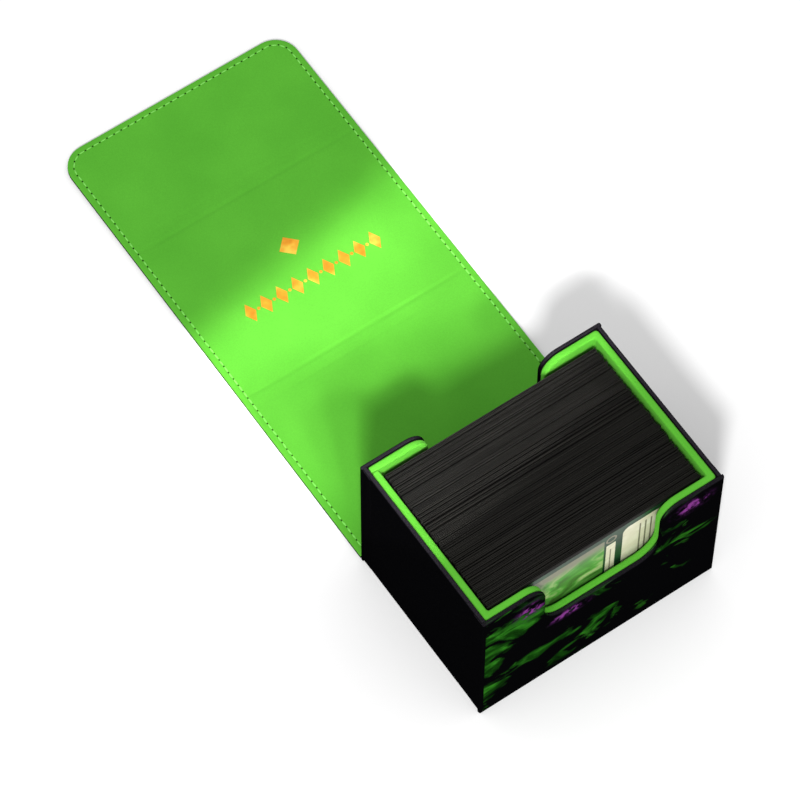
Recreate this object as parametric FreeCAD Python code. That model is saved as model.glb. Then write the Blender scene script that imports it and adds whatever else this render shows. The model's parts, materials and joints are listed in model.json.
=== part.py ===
"""Flip-top deck box for sleeved trading cards, lying open with its deck standing in it.

Millimetres. The origin is the centre of the box's underside. +X is to the right,
+Y to the back, where the open flap lies flat, and +Z is up.
"""

import FreeCAD
import Part
import math
import os

# Deck: the sleeved cards stand on their long edges and set the size of the box
CARD_COUNT = 100
CARD_W = 91.2  # across the box
CARD_H = 66.0
CARD_T = 0.6
CARD_GAP = 0.029  # air between two cards
DECK_SIDE_GAP = 1.0  # from the cards to the lining on each side
DECK_FRONT_GAP = 1.5
DECK_BACK_GAP = 2.23
DECK_FLOOR_GAP = 0.02
DECK_UNDER_RIM = 1.98  # from the cards' top to the rim

# Walls and floor of the box
WALL_BOARD_T = 1.2  # greyboard of the four walls
COVER_T = 0.4  # leatherette glued round that board
SIDE_INSET = 0.4  # the side walls stand back from the ends of the front and back walls
WALL_ROUND = 0.8  # outside edges of the covered walls
RIM_ROUND = 0.3  # inner edge of the rim
BASE_BOARD_T = 1.5  # greyboard of the floor

# Finger notches, the same in the front and the back
NOTCH_W = 49.5
NOTCH_DEPTH = 27.8
SHOULDER_R = 8.0  # where a notch leaves the rim
NOTCH_CORNER_R = 9.0  # at the notch's two lower corners

# Suede-covered lining panels inside the box
LINER_T = 2.7
LINER_GAP = 0.2  # glue gap between lining panel and wall
LINER_DROP = 0.15  # the lining's top edge is this far under the rim
LINER_ROUND = 1.0  # soft edges along the lining's top
LINER_SEAM = 0.2  # at the back left corner, where the folded strip's ends meet
FLOOR_LINER_T = 1.5

# Flap: one strip of leatherette and one of suede with three boards between them
FLAP_COVER_T = 0.35  # the leatherette, which also runs under the box
FLAP_BOARD_T = 1.0
FLAP_LINING_T = 0.35
FLAP_CORNER_R = 10.0  # at the free end
FLAP_MARGIN = 1.0  # from the flap's edge to the boards inside it
FLAP_PAST_MAGNETS = 6.3  # from the magnets to the free end
FOLD_ROOM = 1.175  # beyond what two folded panels need between them
FOLD_PLAY = 0.05  # past a square corner, so that folded covers don't touch
LID_CLEAR = 0.5  # between the closed flap and the box

# Stitching round the flap
STITCH_L = 2.2
STITCH_W = 0.55
STITCH_T = 0.15
STITCH_GAP = 1.04
STITCH_INSET = 2.6  # from the flap's edge to the thread's middle

# Magnets, in pairs that meet when the flap is closed
MAGNET_D = 12.0
MAGNET_FIT = 0.1  # gap round a magnet in its hole
MAGNET_X = 20.0
MAGNET_UNDER_NOTCH = 1.55

# Foil ornament on the lining of the top panel
FOIL_T = 0.08
LOZENGE_COUNT = 9
LOZENGE_W = 4.6
LOZENGE_L = 8.6
LOZENGE_GAP = 2.4
DOT_D = 1.3
CROWN_SIZE = 9.0  # the larger lozenge above the row
ROW_TO_CROWN = 16.0

# The box from the inside out
CARD_PITCH = CARD_T + CARD_GAP
DECK_L = CARD_COUNT * CARD_PITCH - CARD_GAP
WALL_T = WALL_BOARD_T + COVER_T
WELL_X = CARD_W / 2 + DECK_SIDE_GAP
WELL_Y = (DECK_FRONT_GAP + DECK_L + DECK_BACK_GAP) / 2
LINER_X = WELL_X + LINER_T
LINER_Y = WELL_Y + LINER_T
INSIDE_X = LINER_X + LINER_GAP
INSIDE_Y = LINER_Y + LINER_GAP
SIDE_X = INSIDE_X + WALL_T  # outside of a side wall
BOX_X = SIDE_X + SIDE_INSET  # ends of the front and back walls, and sides of the flap
BOX_Y = INSIDE_Y + WALL_T
BASE_TOP = FLAP_COVER_T + BASE_BOARD_T
CARD_Z = BASE_TOP + FLOOR_LINER_T + DECK_FLOOR_GAP
BOX_H = CARD_Z + CARD_H + DECK_UNDER_RIM
MAGNET_Z = BOX_H - NOTCH_DEPTH - MAGNET_UNDER_NOTCH - MAGNET_D / 2

# A fold turns about the middle of the leatherette. A closed panel's lining then stands
# LID_CLEAR off the box, which gives the place of each fold.
LINING_Z = FLAP_COVER_T + FLAP_BOARD_T
FLAP_T = LINING_Z + FLAP_LINING_T
FOLD_Z = FLAP_COVER_T / 2
FOLD_HALF = FLAP_T - FOLD_Z + FOLD_ROOM  # from a fold to the boards on each side of it
COVER_END = FOLD_Z + FOLD_PLAY  # from a fold to the leatherette on each side of it
FOLD_TO_BOX = FLAP_T - FOLD_Z + LID_CLEAR
ROOT_FOLD_Y = BOX_Y + FOLD_TO_BOX
TOP_FOLD_Y = ROOT_FOLD_Y + BOX_H + FOLD_TO_BOX - FOLD_Z
FRONT_FOLD_Y = TOP_FOLD_Y + 2 * BOX_Y + 2 * FOLD_TO_BOX
CLOSED_FOLD_Z = FOLD_Z + TOP_FOLD_Y - ROOT_FOLD_Y  # height of the upper folds when closed
FLAP_MAGNET_Y = FRONT_FOLD_Y + CLOSED_FOLD_Z - MAGNET_Z
FLAP_END_Y = FLAP_MAGNET_Y + MAGNET_D / 2 + FLAP_PAST_MAGNETS

TOL = 1e-4
OVERSHOOT = 5.0  # how far a cutting solid runs past what it cuts
ACROSS, UP = FreeCAD.Vector(0, 1, 0), FreeCAD.Vector(0, 0, 1)


def vec(x, y, z=0.0):
    return FreeCAD.Vector(x, y, z)


def block(x0, x1, y0, y1, z0, z1):
    return Part.makeBox(x1 - x0, y1 - y0, z1 - z0, vec(x0, y0, z0))


def quarter_arc(centre, radius, start, turn, second_axis):
    """A quarter circle from start degrees, in the plane of +X and a second axis.

    turn is 1 from +X towards the second axis and -1 the other way.
    """
    angles = [math.radians(start + turn * step) for step in (0, 45, 90)]
    points = [
        centre + vec(radius * math.cos(a), 0) + second_axis * (radius * math.sin(a)) for a in angles
    ]
    return Part.Arc(*points)


def outline_face(pieces):
    """The face inside a ring of points and arcs, which straight lines join."""
    edges = []
    for piece, following in zip(pieces, pieces[1:] + pieces[:1]):
        is_arc = hasattr(piece, "EndPoint")
        if is_arc:
            edges.append(piece.toShape())
        end = piece.EndPoint if is_arc else piece
        start = getattr(following, "StartPoint", following)
        edges.append(Part.LineSegment(end, start).toShape())
    return Part.Face(Part.Wire(edges))


def rounded_edges(shape, radius, wanted):
    return shape.makeFillet(radius, [e for e in shape.Edges if wanted(e.BoundBox)])


def mirrored(shape, normal):
    return shape.mirror(vec(0, 0), normal)


# Walls


def notch(grow):
    """What a finger notch takes out of a wall. grow widens it, for the board inside the cover."""
    half = NOTCH_W / 2 + grow
    corner_r = NOTCH_CORNER_R + grow
    corner_z = BOX_H - NOTCH_DEPTH + NOTCH_CORNER_R
    shoulder_r = SHOULDER_R - grow
    shoulder_x = NOTCH_W / 2 + SHOULDER_R
    shoulder_z = BOX_H - SHOULDER_R
    above = BOX_H + OVERSHOOT
    y = -BOX_Y - OVERSHOOT
    pieces = [
        quarter_arc(vec(-shoulder_x, y, shoulder_z), shoulder_r, 90, -1, UP),
        quarter_arc(vec(-half + corner_r, y, corner_z), corner_r, 180, 1, UP),
        quarter_arc(vec(half - corner_r, y, corner_z), corner_r, 270, 1, UP),
        quarter_arc(vec(shoulder_x, y, shoulder_z), shoulder_r, 180, -1, UP),
        vec(shoulder_x, y, above),
        vec(-shoulder_x, y, above),
    ]
    return outline_face(pieces).extrude(ACROSS * (-2 * y))


def front_wall(inset):
    """The notched front wall, or with an inset the board that lies that far inside it."""
    outer_y = -BOX_Y + inset
    x = BOX_X - inset
    slab = block(-x, x, outer_y, -INSIDE_Y, FLAP_COVER_T + inset, BOX_H - inset)
    slab = slab.cut(notch(inset))
    slab = rounded_edges(slab, WALL_ROUND - inset, lambda b: b.YMax < outer_y + TOL)
    if inset:
        return slab

    def inner_rim(b):
        return b.YMin > -INSIDE_Y - TOL and b.ZMin > FLAP_COVER_T + WALL_ROUND + TOL

    return rounded_edges(slab, RIM_ROUND, inner_rim)


def right_wall(inset):
    """The right wall, which stands between the front and back walls, or the board in it."""
    outer_x = SIDE_X - inset
    y = INSIDE_Y
    slab = block(INSIDE_X, outer_x, -y, y, FLAP_COVER_T + inset, BOX_H - inset)

    def outer_rim_and_foot(b):
        return b.XMin > outer_x - TOL and b.YLength > y

    slab = rounded_edges(slab, WALL_ROUND - inset, outer_rim_and_foot)
    if inset:
        return slab

    def inner_rim(b):
        return b.XMax < INSIDE_X + TOL and b.YLength > y and b.ZMin > BOX_H / 2

    return rounded_edges(slab, RIM_ROUND, inner_rim)


def wall_discs(radius):
    """A pair of discs through the front wall's board."""
    y = -BOX_Y + COVER_T
    return Part.makeCompound([
        Part.makeCylinder(radius, WALL_BOARD_T, vec(side * MAGNET_X, y, MAGNET_Z), ACROSS)
        for side in (-1, 1)
    ])


def wall_nodes():
    front_board, side_board = front_wall(COVER_T), right_wall(COVER_T)
    front_cover = front_wall(0).cut(front_board)
    side_cover = right_wall(0).cut(side_board)
    return {
        "front_board": front_board.cut(wall_discs(MAGNET_D / 2 + MAGNET_FIT)),
        "front_cover": front_cover,
        "front_wall_magnets": wall_discs(MAGNET_D / 2),
        "back_board": mirrored(front_board, ACROSS),
        "back_cover": mirrored(front_cover, ACROSS),
        "right_board": side_board,
        "right_cover": side_cover,
        "left_board": mirrored(side_board, vec(1, 0)),
        "left_cover": mirrored(side_cover, vec(1, 0)),
    }


def base_nodes():
    foot_x = BOX_X - WALL_ROUND
    foot_y = BOX_Y - WALL_ROUND
    floor_top = BASE_TOP + FLOOR_LINER_T
    under_box = block(-foot_x, foot_x, -foot_y, foot_y, 0, FLAP_COVER_T)
    tail = block(-BOX_X, BOX_X, foot_y, ROOT_FOLD_Y - COVER_END, 0, FLAP_COVER_T)
    return {
        "base_board": block(-INSIDE_X, INSIDE_X, -INSIDE_Y, INSIDE_Y, FLAP_COVER_T, BASE_TOP),
        "base_cover": under_box.fuse(tail).removeSplitter(),
        "floor_liner": block(-WELL_X, WELL_X, -WELL_Y, WELL_Y, BASE_TOP, floor_top),
    }


# Lining panels of the box


def liner_panel(corners, is_long_face):
    """A panel on a plan outline of four corners, its top edges rounded on both long faces."""
    face = outline_face([vec(x, y, BASE_TOP) for x, y in corners])
    panel = face.extrude(UP * (BOX_H - LINER_DROP - BASE_TOP)).cut(notch(0))
    return rounded_edges(panel, LINER_ROUND, lambda b: b.ZMin > BASE_TOP + TOL and is_long_face(b))


def liner_nodes():
    """One strip folded at three corners, which starts and ends at the back left corner."""
    x, y, in_x, in_y = LINER_X, LINER_Y, WELL_X, WELL_Y
    seam = WELL_Y - LINER_SEAM

    def lies_along_x(b):
        return b.YLength < TOL

    def lies_along_y(b):
        return b.XLength < TOL

    back = [(-x, y), (x, y), (in_x, in_y), (-x, in_y)]
    right = [(x, y), (x, -y), (in_x, -in_y), (in_x, in_y)]
    front = [(x, -y), (-x, -y), (-in_x, -in_y), (in_x, -in_y)]
    left = [(-x, -y), (-in_x, -in_y), (-in_x, seam), (-x, seam)]
    return {
        "back_liner": liner_panel(back, lies_along_x),
        "right_liner": liner_panel(right, lies_along_y),
        "front_liner": liner_panel(front, lies_along_x),
        "left_liner": liner_panel(left, lies_along_y),
    }


# Flap


def flap_plate(margin, y0, y1, z0, z1, free_end):
    """A plate of the flap, margin inside its sides and, at the free end, inside its round end."""
    x = BOX_X - margin
    if not free_end:
        return block(-x, x, y0, y1, z0, z1)
    end = y1 - margin
    r = FLAP_CORNER_R - margin
    pieces = [
        vec(-x, y0, z0),
        vec(x, y0, z0),
        quarter_arc(vec(x - r, end - r, z0), r, 0, 1, ACROSS),
        quarter_arc(vec(-x + r, end - r, z0), r, 90, 1, ACROSS),
    ]
    return outline_face(pieces).extrude(UP * (z1 - z0))


def stitch(x, y, degrees):
    """One thread stitch on the lining, turned from the flap's length."""
    piece = block(-STITCH_W / 2, STITCH_W / 2, -STITCH_L / 2, STITCH_L / 2, 0, STITCH_T)
    piece.rotate(vec(0, 0), UP, degrees)
    piece.translate(vec(x, y, FLAP_T))
    return piece


def side_stitches(y0, y1):
    """Rows along both sides, evenly spread and centred between y0 and y1."""
    pitch = STITCH_L + STITCH_GAP
    x = BOX_X - STITCH_INSET
    count = int((y1 - y0 - STITCH_L) / pitch) + 1
    first = (y0 + y1 - (count - 1) * pitch) / 2
    places = [first + i * pitch for i in range(count)]
    return [stitch(side * x, y, 0) for side in (-1, 1) for y in places]


def end_stitches():
    """Along the free end and round its two corners, from the right to the left."""
    pitch = STITCH_L + STITCH_GAP
    radius = FLAP_CORNER_R - STITCH_INSET
    corner_x = BOX_X - FLAP_CORNER_R
    corner_y = FLAP_END_Y - FLAP_CORNER_R
    quarter = math.pi / 2 * radius
    length = 2 * (quarter + corner_x)
    count = int(length / pitch)
    first = (length - (count - 1) * pitch) / 2
    pieces = []
    for i in range(count):
        along = first + i * pitch
        round_first = min(along, quarter)
        round_last = max(along - quarter - 2 * corner_x, 0)
        straight = along - round_first - round_last
        turn = (round_first + round_last) / radius
        x = corner_x - straight + radius * math.cos(turn)
        pieces.append(stitch(x, corner_y + radius * math.sin(turn), math.degrees(turn)))
    return pieces


def flap_section(name, start_fold, end_y, free_end):
    """Cover, board, lining and stitches of one panel, from its fold to the next or to the end."""
    inner_y0 = start_fold + FOLD_HALF
    inner_y1 = end_y if free_end else end_y - FOLD_HALF
    cover_y1 = end_y if free_end else end_y - COVER_END
    skin = flap_plate(0, start_fold + COVER_END, cover_y1, 0, FLAP_COVER_T, free_end)
    filled = flap_plate(0, inner_y0, inner_y1, FLAP_COVER_T, LINING_Z, free_end)
    board = flap_plate(FLAP_MARGIN, inner_y0, inner_y1, FLAP_COVER_T, LINING_Z, free_end)
    stitches = side_stitches(inner_y0, end_y - FLAP_CORNER_R if free_end else inner_y1)
    if free_end:
        stitches += end_stitches()
    return {
        f"{name}_cover": skin.fuse(filled.cut(board)).removeSplitter(),
        f"{name}_board": board,
        f"{name}_lining": flap_plate(0, inner_y0, inner_y1, LINING_Z, FLAP_T, free_end),
        f"{name}_stitches": Part.makeCompound(stitches),
    }


def flap_discs(radius):
    """A pair of discs through the front panel's board, over the wall's when the flap is closed."""
    return Part.makeCompound([
        Part.makeCylinder(radius, FLAP_BOARD_T, vec(side * MAGNET_X, FLAP_MAGNET_Y, FLAP_COVER_T))
        for side in (-1, 1)
    ])


def flap_nodes():
    nodes = flap_section("flap_back", ROOT_FOLD_Y, TOP_FOLD_Y, False)
    nodes.update(flap_section("flap_top", TOP_FOLD_Y, FRONT_FOLD_Y, False))
    nodes.update(flap_section("flap_front", FRONT_FOLD_Y, FLAP_END_Y, True))
    holes = flap_discs(MAGNET_D / 2 + MAGNET_FIT)
    nodes["flap_front_board"] = nodes["flap_front_board"].cut(holes)
    nodes["flap_front_magnets"] = flap_discs(MAGNET_D / 2)
    nodes["flap_top_ornament"] = ornament()
    return nodes


def lozenge(x, y, width, length):
    corners = [(x + width / 2, y), (x, y + length / 2), (x - width / 2, y), (x, y - length / 2)]
    return outline_face([vec(*corner, FLAP_T) for corner in corners]).extrude(UP * FOIL_T)


def ornament():
    """Foil on the middle of the top panel: a row of lozenges and dots, and one larger lozenge."""
    row_y = (TOP_FOLD_Y + FRONT_FOLD_Y - ROW_TO_CROWN) / 2
    pitch = LOZENGE_W + LOZENGE_GAP
    first_x = -(LOZENGE_COUNT - 1) * pitch / 2
    pieces = [lozenge(0, row_y + ROW_TO_CROWN, CROWN_SIZE, CROWN_SIZE)]
    for i in range(LOZENGE_COUNT):
        x = first_x + i * pitch
        pieces.append(lozenge(x, row_y, LOZENGE_W, LOZENGE_L))
        if i:
            pieces.append(Part.makeCylinder(DOT_D / 2, FOIL_T, vec(x - pitch / 2, row_y, FLAP_T)))
    return Part.makeCompound(pieces)


# Deck


def card(index):
    y = -WELL_Y + DECK_FRONT_GAP + index * CARD_PITCH
    return block(-CARD_W / 2, CARD_W / 2, y, y + CARD_T, CARD_Z, CARD_Z + CARD_H)


def deck_nodes():
    return {
        "face_card": card(0),
        "sleeved_cards": Part.makeCompound([card(i) for i in range(1, CARD_COUNT)]),
    }


def main():
    os.makedirs("parts", exist_ok=True)
    for group in (wall_nodes, base_nodes, liner_nodes, flap_nodes, deck_nodes):
        for name, shape in group().items():
            shape.exportStep(f"parts/{name}.step")
    folds = [("root", ROOT_FOLD_Y), ("top", TOP_FOLD_Y), ("front", FRONT_FOLD_Y)]
    for name, y in folds:
        print(f"{name} fold at y {y:.4f}, z {FOLD_Z:.4f}")
    print(f"box {2 * BOX_X:.3f} by {2 * BOX_Y:.3f} by {BOX_H:.3f}, flap ends at y {FLAP_END_Y:.3f}")


main()
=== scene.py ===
"""The looks of a flip-top deck box for sleeved trading cards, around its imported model.

Lengths in this file are in millimetres, and a finished mesh is scaled to metres.
"""

import json
import math

import bmesh
import bpy
from mathutils import Matrix, Vector, noise


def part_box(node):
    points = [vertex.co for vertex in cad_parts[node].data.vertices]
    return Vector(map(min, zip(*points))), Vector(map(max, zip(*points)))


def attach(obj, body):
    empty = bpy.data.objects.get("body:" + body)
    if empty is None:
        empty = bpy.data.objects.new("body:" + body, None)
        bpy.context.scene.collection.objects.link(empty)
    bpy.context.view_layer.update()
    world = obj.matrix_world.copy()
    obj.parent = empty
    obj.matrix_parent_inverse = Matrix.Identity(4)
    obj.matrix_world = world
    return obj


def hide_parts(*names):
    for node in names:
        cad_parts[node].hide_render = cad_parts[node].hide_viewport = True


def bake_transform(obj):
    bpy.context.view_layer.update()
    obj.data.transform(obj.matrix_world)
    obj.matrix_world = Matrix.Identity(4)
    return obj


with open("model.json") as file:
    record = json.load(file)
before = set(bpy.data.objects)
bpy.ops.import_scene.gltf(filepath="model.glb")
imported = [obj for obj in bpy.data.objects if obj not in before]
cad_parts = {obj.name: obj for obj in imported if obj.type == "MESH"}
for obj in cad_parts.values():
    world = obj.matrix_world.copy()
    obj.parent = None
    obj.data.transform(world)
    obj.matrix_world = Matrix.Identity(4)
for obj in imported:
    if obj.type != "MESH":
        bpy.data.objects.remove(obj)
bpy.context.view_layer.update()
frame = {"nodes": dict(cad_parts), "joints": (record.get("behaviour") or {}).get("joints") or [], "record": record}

MM = 0.001
TO_METRES = Matrix.Scale(MM, 4)


def cad_box(node):
    """(lowest corner, highest corner) of a CAD node, in millimetres."""
    low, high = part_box(node)
    return low / MM, high / MM


def fold_place(joint):
    """Where a fold's line crosses x = 0, in millimetres."""
    found = next(j for j in frame["joints"] if j["name"] == joint)
    return Vector(found["pos_m"]) / MM


WALL_LOW, WALL_HIGH = cad_box("front_cover")
BOX_X = WALL_HIGH.x
BOX_Y = -WALL_LOW.y
BOX_H = WALL_HIGH.z
SIDE_X = cad_box("right_cover")[1].x
INSIDE_Y = cad_box("right_cover")[1].y
ROOT_FOLD = fold_place("flap_root_hinge")
TOP_FOLD = fold_place("flap_top_hinge")
FRONT_FOLD = fold_place("flap_front_hinge")
FLAP_END = cad_box("flap_front_cover")[1].y
LINING_LOW, LINING_HIGH = cad_box("flap_top_lining")
LINING_Z = LINING_LOW.z
FLAP_T = LINING_HIGH.z
FOLD_HALF = LINING_LOW.y - TOP_FOLD.y

# Finger notches, the same in the front and the back
NOTCH_HALF = 24.75
NOTCH_DEPTH = 27.8
SHOULDER_R = 8.0
NOTCH_CORNER_R = 9.0

FLAP_CORNER_R = 10.0
STITCH_INSET = 2.6
STITCH_PITCH = 3.24


# Small tools


def colour(code):
    """Linear RGBA from an sRGB hex code such as 5ab034."""
    channels = [int(code[i : i + 2], 16) / 255 for i in (0, 2, 4)]
    linear = [c / 12.92 if c <= 0.04045 else ((c + 0.055) / 1.055) ** 2.4 for c in channels]
    return (*linear, 1.0)


NOISE = "ShaderNodeTexNoise"
RAMP = "ShaderNodeValToRGB"
MATH = "ShaderNodeMath"
BUMP = "ShaderNodeBump"
SPLIT = "ShaderNodeSeparateXYZ"
JOIN = "ShaderNodeCombineXYZ"


def add(tree, kind, inputs=None, stops=None, **settings):
    """Adds a node. inputs maps a socket's name or number to a value or to what feeds it.

    A node that feeds a socket does so from its first output. stops gives a colour ramp its
    (position, hex code or grey value) pairs."""
    node = tree.nodes.new(kind)
    for name, value in settings.items():
        setattr(node, name, value)
    for key, value in (inputs or {}).items():
        if isinstance(value, bpy.types.Node):
            value = value.outputs[0]
        if isinstance(value, bpy.types.NodeSocket):
            tree.links.new(value, node.inputs[key])
        else:
            node.inputs[key].default_value = value
    if stops:
        elements = node.color_ramp.elements
        while len(elements) < len(stops):
            elements.new(0.5)
        for element, (position, value) in zip(elements, stops):
            element.position = position
            element.color = colour(value) if isinstance(value, str) else (value, value, value, 1)
    return node


def material(name, constants):
    """A new material, its node tree and its shader, with the shader's constant sockets set."""
    made = bpy.data.materials.new(name)
    made.use_nodes = True
    shader = made.node_tree.nodes["Principled BSDF"]
    for socket, value in constants.items():
        shader.inputs[socket].default_value = value
    return made, made.node_tree, shader


def feed(tree, shader, **nodes):
    """Links nodes to the shader's sockets; base_color feeds Base Color, from a Mix's Result."""
    for socket, node in nodes.items():
        output = node.outputs["Result" if node.bl_idname == "ShaderNodeMix" else 0]
        tree.links.new(output, shader.inputs[socket.replace("_", " ").title()])


def place_in_mm(tree, scale=(1, 1, 1)):
    """The piece's own coordinates in millimetres, stretched by scale."""
    coordinates = add(tree, "ShaderNodeTexCoord").outputs["Object"]
    stretch = tuple(s / MM for s in scale)
    return add(tree, "ShaderNodeMapping", {"Vector": coordinates, "Scale": stretch}).outputs[0]


def piece(name, bm, surface, body=None, sharp=40, normals=True):
    """A finished mesh object in metres, smooth except at edges sharper than sharp degrees."""
    if normals:
        bmesh.ops.recalc_face_normals(bm, faces=bm.faces)
    bmesh.ops.transform(bm, matrix=TO_METRES, verts=bm.verts)
    mesh = bpy.data.meshes.new(name)
    bm.to_mesh(mesh)
    bm.free()
    mesh.shade_smooth()
    mesh.set_sharp_from_angle(angle=math.radians(sharp))
    mesh.materials.append(surface)
    made = bpy.data.objects.new(name, mesh)
    bpy.context.scene.collection.objects.link(made)
    if body:
        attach(made, body)
    return made


def bake(made):
    """Turns a piece with modifiers into a plain mesh."""
    depsgraph = bpy.context.evaluated_depsgraph_get()
    mesh = bpy.data.meshes.new_from_object(made.evaluated_get(depsgraph))
    made.modifiers.clear()
    made.data = mesh
    return made


def weight_normals(made):
    """Keeps large flat faces looking flat beside their rounded edges."""
    made.modifiers.new("weighted normals", "WEIGHTED_NORMAL").keep_sharp = True
    return bake(made)


def slice_mesh(bm, axis, places):
    """Cuts a mesh across an axis at each place, so that it can bend there."""
    normal = Vector([float(i == axis) for i in range(3)])
    for place in places:
        geometry = bm.verts[:] + bm.edges[:] + bm.faces[:]
        bmesh.ops.bisect_plane(bm, geom=geometry, plane_co=normal * place, plane_no=normal)


def steps(start, end, step):
    """Evenly spread places between start and end, about step apart and without the ends."""
    count = max(1, round((end - start) / step))
    return [start + (end - start) * i / count for i in range(1, count)]


def arc(x, y, radius, start, turn, count=8):
    """Points on a quarter circle about x, y from start degrees; turn is 90 or -90."""
    angles = [math.radians(start + turn * i / count) for i in range(count + 1)]
    return [(x + radius * math.cos(a), y + radius * math.sin(a)) for a in angles]


def smooth(value):
    """From 0 to 1 with level ends."""
    t = min(max(value, 0.0), 1.0)
    return t * t * (3 - 2 * t)


# Materials


def suede():
    """Microfibre suede in lime green: a short dense nap that scatters light and, brushed
    one way or the other, shows soft lighter and darker patches."""
    made, tree, shader = material("microfibre_suede", {
        "Roughness": 0.95,
        "Specular IOR Level": 0.1,
        "Sheen Weight": 0.12,
        "Sheen Roughness": 0.45,
        "Sheen Tint": colour("9dff70"),
    })
    place = place_in_mm(tree)
    brushed = add(tree, NOISE, {"Vector": place, "Scale": 1 / 26, "Detail": 2.0})
    nap = add(tree, NOISE, {"Vector": place, "Scale": 1 / 0.45, "Detail": 3.0})
    patches = add(tree, RAMP, {0: brushed}, [(0.3, "54aa30"), (0.7, "5ab234")])
    fibres = add(tree, RAMP, {0: nap}, [(0.25, 0.86), (0.75, 1.0)])
    mixed = add(tree, "ShaderNodeMix", {"Factor": 1.0, "A": patches, "B": fibres},
                data_type="RGBA", blend_type="MULTIPLY")
    bump = add(tree, BUMP, {"Height": nap, "Strength": 0.35, "Distance": 0.05 * MM})
    feed(tree, shader, base_color=mixed, normal=bump)
    return made


def grain(tree, place, shader):
    """Embossed leather grain, pebbles about 0.7 mm wide with finer wrinkles between them."""
    pebbles = add(tree, "ShaderNodeTexVoronoi", {"Vector": place, "Scale": 1 / 0.7},
                  feature="SMOOTH_F1")
    wrinkles = add(tree, NOISE, {"Vector": place, "Scale": 1 / 0.3, "Detail": 4.0})
    height = add(tree, MATH, {0: pebbles.outputs["Distance"], 1: wrinkles}, operation="ADD")
    bump = add(tree, BUMP, {"Height": height, "Strength": 0.3, "Distance": 0.06 * MM})
    feed(tree, shader, normal=bump)
    return wrinkles


def rim_painted_highlight(tree, face_colour, wrinkles, most):
    """Painted highlight: lightens what faces up, as the light from above falls on the film stretched over a
    board's edge.

    most is how far the painted grey takes over on a level rim, from 0 to 1."""
    surface = add(tree, "ShaderNodeNewGeometry")
    up = add(tree, SPLIT, {0: surface.outputs["Normal"]}).outputs["Z"]
    amount = add(tree, RAMP, {0: up}, [(0.35, 0.0), (0.9, most)])
    # painted highlight: the grey that the light from above gives the black film on a level rim
    highlight_grey = add(tree, RAMP, {0: wrinkles}, [(0.35, "161518"), (0.65, "2c292f")])
    return add(tree, "ShaderNodeMix", {"Factor": amount, "A": face_colour, "B": highlight_grey},
               data_type="RGBA")


LEATHERETTE = {"Roughness": 0.7, "Specular IOR Level": 0.0}
FACE_BLACKS = [(0.3, "020203"), (0.7, "080809")]


def leatherette():
    """Black polyurethane leatherette on the box: a matt embossed film, with a painted highlight along its
    up-facing rims.
    """
    made, tree, shader = material("black_leatherette", LEATHERETTE)
    wrinkles = grain(tree, place_in_mm(tree), shader)
    face = add(tree, RAMP, {0: wrinkles}, FACE_BLACKS)
    # the rims' lighter grey is painted highlight from the light above
    feed(tree, shader, base_color=rim_painted_highlight(tree, face, wrinkles, 1.0))
    return made


def flap_leatherette():
    """The same film on the flap, evenly dark whichever way the flap is turned."""
    made, tree, shader = material("black_flap_leatherette", LEATHERETTE)
    wrinkles = grain(tree, place_in_mm(tree), shader)
    face = add(tree, RAMP, {0: wrinkles}, [(0.3, "060607"), (0.7, "131214")])
    feed(tree, shader, base_color=face)
    return made


# The print stops at this |x|, short of the cover's turned edges
FRONT_PRINT_HALF = 50.2

# Where the haze lies on the front: (x, z, half width, half height)
HAZE_SPOTS = [(-31.0, 61.0, 9.5, 8.5), (38.0, 65.0, 12.0, 6.5), (-14.0, 40.5, 13.0, 4.0)]


def printed_leatherette():
    """The same film with an abstract print of green wisps and violet haze on black."""
    made, tree, shader = material("printed_leatherette", LEATHERETTE)
    wrinkles = grain(tree, place_in_mm(tree), shader)
    printed = add(tree, RAMP, {0: wrinkles}, FACE_BLACKS).outputs[0]
    wisps, depth = wisp_mask(tree)
    haze = haze_mask(tree)
    green = add(tree, RAMP, {0: depth}, [(0.32, "061604"), (0.5, "10390a"), (0.7, "2f7a1e")])
    violet = add(tree, RAMP, {0: haze}, [(0.0, "140818"), (0.55, "38163f"), (1.0, "76347c")])
    for mask, ink in ((wisps, green), (haze, violet)):
        printed = add(tree, "ShaderNodeMix", {"Factor": mask, "A": printed, "B": ink},
                      data_type="RGBA").outputs["Result"]
    # painted highlight on the up-facing rims, as on the plain film, at 0.65 strength
    feed(tree, shader, base_color=rim_painted_highlight(tree, printed, wrinkles, 0.65))
    return made


def wisp_mask(tree):
    """Curling streaks, about 8 mm wide and up to 30 mm long, that rise to the right and thin
    out there.

    Returns where they are, with a soft edge, and a second noise that shades them."""
    turned = add(tree, "ShaderNodeMapping", {
        "Vector": place_in_mm(tree),
        "Rotation": (0, math.radians(30), 0),
        "Scale": (1 / 32, 1, 1 / 15),
    })
    warp = add(tree, NOISE, {"Vector": turned, "Scale": 1.1, "Detail": 2.0})
    bent = add(tree, "ShaderNodeVectorMath", {0: warp.outputs["Color"], "Scale": 1.8},
               operation="SCALE")
    moved = add(tree, "ShaderNodeVectorMath", {0: turned, 1: bent}, operation="ADD")
    streaks = add(tree, NOISE, {"Vector": moved, "Scale": 1.0, "Detail": 5.0, "Roughness": 0.55})
    shade = add(tree, NOISE, {"Vector": moved, "Scale": 2.4, "Detail": 5.0})
    x = add(tree, SPLIT, {0: place_in_mm(tree)})
    thinning = add(tree, MATH, {0: x, 1: 0.0011}, operation="MULTIPLY")
    thinned = add(tree, MATH, {0: streaks, 1: thinning}, operation="SUBTRACT")
    sideways = add(tree, MATH, {0: x}, operation="ABSOLUTE")
    on_front = add(tree, MATH, {0: sideways, 1: FRONT_PRINT_HALF}, operation="LESS_THAN")
    wisps = add(tree, RAMP, {0: thinned}, [(0.535, 0.0), (0.6, 1.0)])
    return add(tree, MATH, {0: wisps, 1: on_front}, operation="MULTIPLY"), shade


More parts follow.
